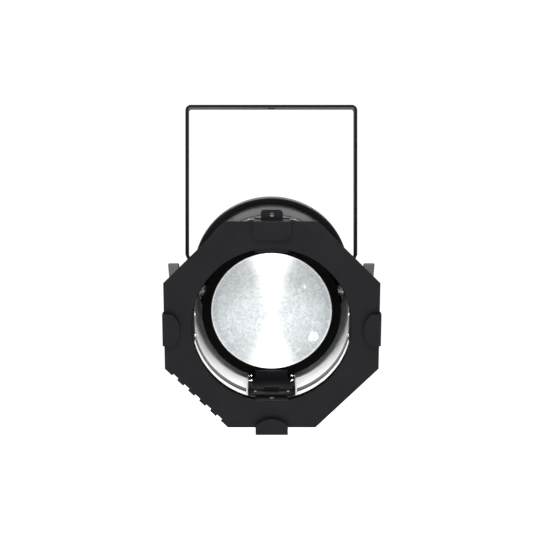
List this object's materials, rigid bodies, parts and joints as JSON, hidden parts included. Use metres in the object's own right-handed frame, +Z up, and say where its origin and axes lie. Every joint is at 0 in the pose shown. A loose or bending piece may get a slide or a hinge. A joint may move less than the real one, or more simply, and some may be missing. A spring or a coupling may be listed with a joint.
{
  "type": "par can light",
  "caption": "Round stage light head with an octagonal colour frame, a sliding front lens and a rear control panel, tilting in a flat steel hanging yoke with wing knobs.",
  "frame": {"origin": "centre of the hanging hole, at the yoke's top face", "axes": "+Z up along the hanging hole, -Y the way the light faces, +X to the right seen from the front"},
  "size_m": [0.2664, 0.3929, 0.4093],
  "materials": {
    "black_steel": "fine satin powder coat",
    "black_aluminium": "fine satin powder coat on aluminium",
    "bare_aluminium": "bare satin",
    "polished_aluminium": "bright spun",
    "plated_steel": "zinc plated",
    "black_plastic": "fine moulded grain",
    "rubber": "matte",
    "key_rubber": "matte",
    "felt": "felt",
    "glass": "fine pebbled",
    "led": "phosphor disc on white board",
    "circuit_board": "lacquered board",
    "dark_window": "polished smoked plastic",
    "contact_brass": "bright"
  },
  "bodies": {
    "yoke": {"yoke_bracket": "black_steel", "friction_washers": "rubber", "tilt_washers": "plated_steel"},
    "knob_left": {"tilt_knob_left": "black_plastic", "tilt_stud_left": "plated_steel"},
    "knob_right": {"tilt_knob_right": "black_plastic", "tilt_stud_right": "plated_steel"},
    "carriage": {"lens": "glass", "lens_holder": "black_aluminium", "lens_retainer": "black_aluminium", "carriage_foot": "black_steel", "guide_screws": "plated_steel"},
    "thumbscrew": {"zoom_thumbscrew": "black_plastic"},
    "latch": {"latch_flap": "black_steel"},
    "fan": {"fan_rotor": "black_plastic"},
    "fuse": {"fuse_cap": "black_plastic"},
    "release": {"release_tab": "plated_steel"},
    "key_1": {"button_1": "key_rubber"},
    "key_2": {"button_2": "key_rubber"},
    "key_3": {"button_3": "key_rubber"},
    "key_4": {"button_4": "key_rubber"},
    "head": {"barrel": "black_aluminium", "barrel_liner": "bare_aluminium", "mouth_band": "felt", "holder_ring": "black_aluminium", "barrel_screws": "plated_steel", "clip_left": "black_steel", "clip_right": "black_steel", "clip_bottom": "black_steel", "latch_bracket": "black_steel", "latch_pin": "plated_steel", "latch_springs": "plated_steel", "colour_frame": "black_steel", "frame_pad": "rubber", "pivot_saddles": "black_aluminium", "pivot_nuts": "plated_steel", "slide_rail": "black_steel", "rivets": "bare_aluminium", "bulkhead": "black_aluminium", "heat_sink": "bare_aluminium", "led_module": "led", "led_clamp": "black_plastic", "reflector": "polished_aluminium", "fan_frame": "black_plastic", "fan_posts": "plated_steel", "driver_case": "bare_aluminium", "driver_bracket": "plated_steel", "control_board": "circuit_board", "display_window": "dark_window", "rear_shell": "black_aluminium", "rear_panel": "black_steel", "panel_screws": "plated_steel", "data_inlet": "black_plastic", "data_outlet": "black_plastic", "contact_pins": "contact_brass", "power_inlet": "black_plastic", "power_outlet": "black_plastic", "fuse_holder": "black_plastic", "safety_eye": "black_steel"}
  },
  "joints": [
    {"name": "head_tilt", "type": "hinge", "parent": "yoke", "child": "head", "pos_m": [0, 0, -0.238], "axis": [-1, 0, 0], "range_deg": [-220, 70]},
    {"name": "knob_left_turn", "type": "hinge", "parent": "head", "child": "knob_left", "pos_m": [-0.12, 0, -0.238], "axis": [-1, 0, 0], "range_deg": [0, 360]},
    {"name": "knob_right_turn", "type": "hinge", "parent": "head", "child": "knob_right", "pos_m": [0.12, 0, -0.238], "axis": [1, 0, 0], "range_deg": [0, 360]},
    {"name": "zoom_slide", "type": "slide", "parent": "head", "child": "carriage", "axis": [0, 0.9659, 0.2588], "range_m": [0, 0.05]},
    {"name": "thumbscrew_turn", "type": "hinge", "parent": "carriage", "child": "thumbscrew", "pos_m": [0, -0.04334, -0.35832], "axis": [0, -0.2588, 0.9659], "range_deg": [0, 180]},
    {"name": "latch_hinge", "type": "hinge", "parent": "head", "child": "latch", "pos_m": [0, -0.18578, -0.15319], "axis": [-1, 0, 0], "range_deg": [0, 75], "stiffness_Nm_per_rad": 0.06, "springref_deg": -34.38},
    {"name": "fan_spin", "type": "hinge", "parent": "head", "child": "fan", "pos_m": [0, 0.0821, -0.216], "axis": [0, 0.9659, 0.2588], "continuous": true},
    {"name": "fuse_cap_turn", "type": "hinge", "parent": "head", "child": "fuse", "pos_m": [0, 0.17311, -0.20404], "axis": [0, 0.9659, 0.2588], "range_deg": [-45, 0]},
    {"name": "release_push", "type": "slide", "parent": "head", "child": "release", "axis": [0, -0.9659, -0.2588], "range_m": [0, 0.002], "stiffness_N_per_m": 1000},
    {"name": "button_1_push", "type": "slide", "parent": "head", "child": "key_1", "axis": [0, -0.9659, -0.2588], "range_m": [0, 0.001], "stiffness_N_per_m": 1500},
    {"name": "button_2_push", "type": "slide", "parent": "head", "child": "key_2", "axis": [0, -0.9659, -0.2588], "range_m": [0, 0.001], "stiffness_N_per_m": 1500},
    {"name": "button_3_push", "type": "slide", "parent": "head", "child": "key_3", "axis": [0, -0.9659, -0.2588], "range_m": [0, 0.001], "stiffness_N_per_m": 1500},
    {"name": "button_4_push", "type": "slide", "parent": "head", "child": "key_4", "axis": [0, -0.9659, -0.2588], "range_m": [0, 0.001], "stiffness_N_per_m": 1500}
  ]
}
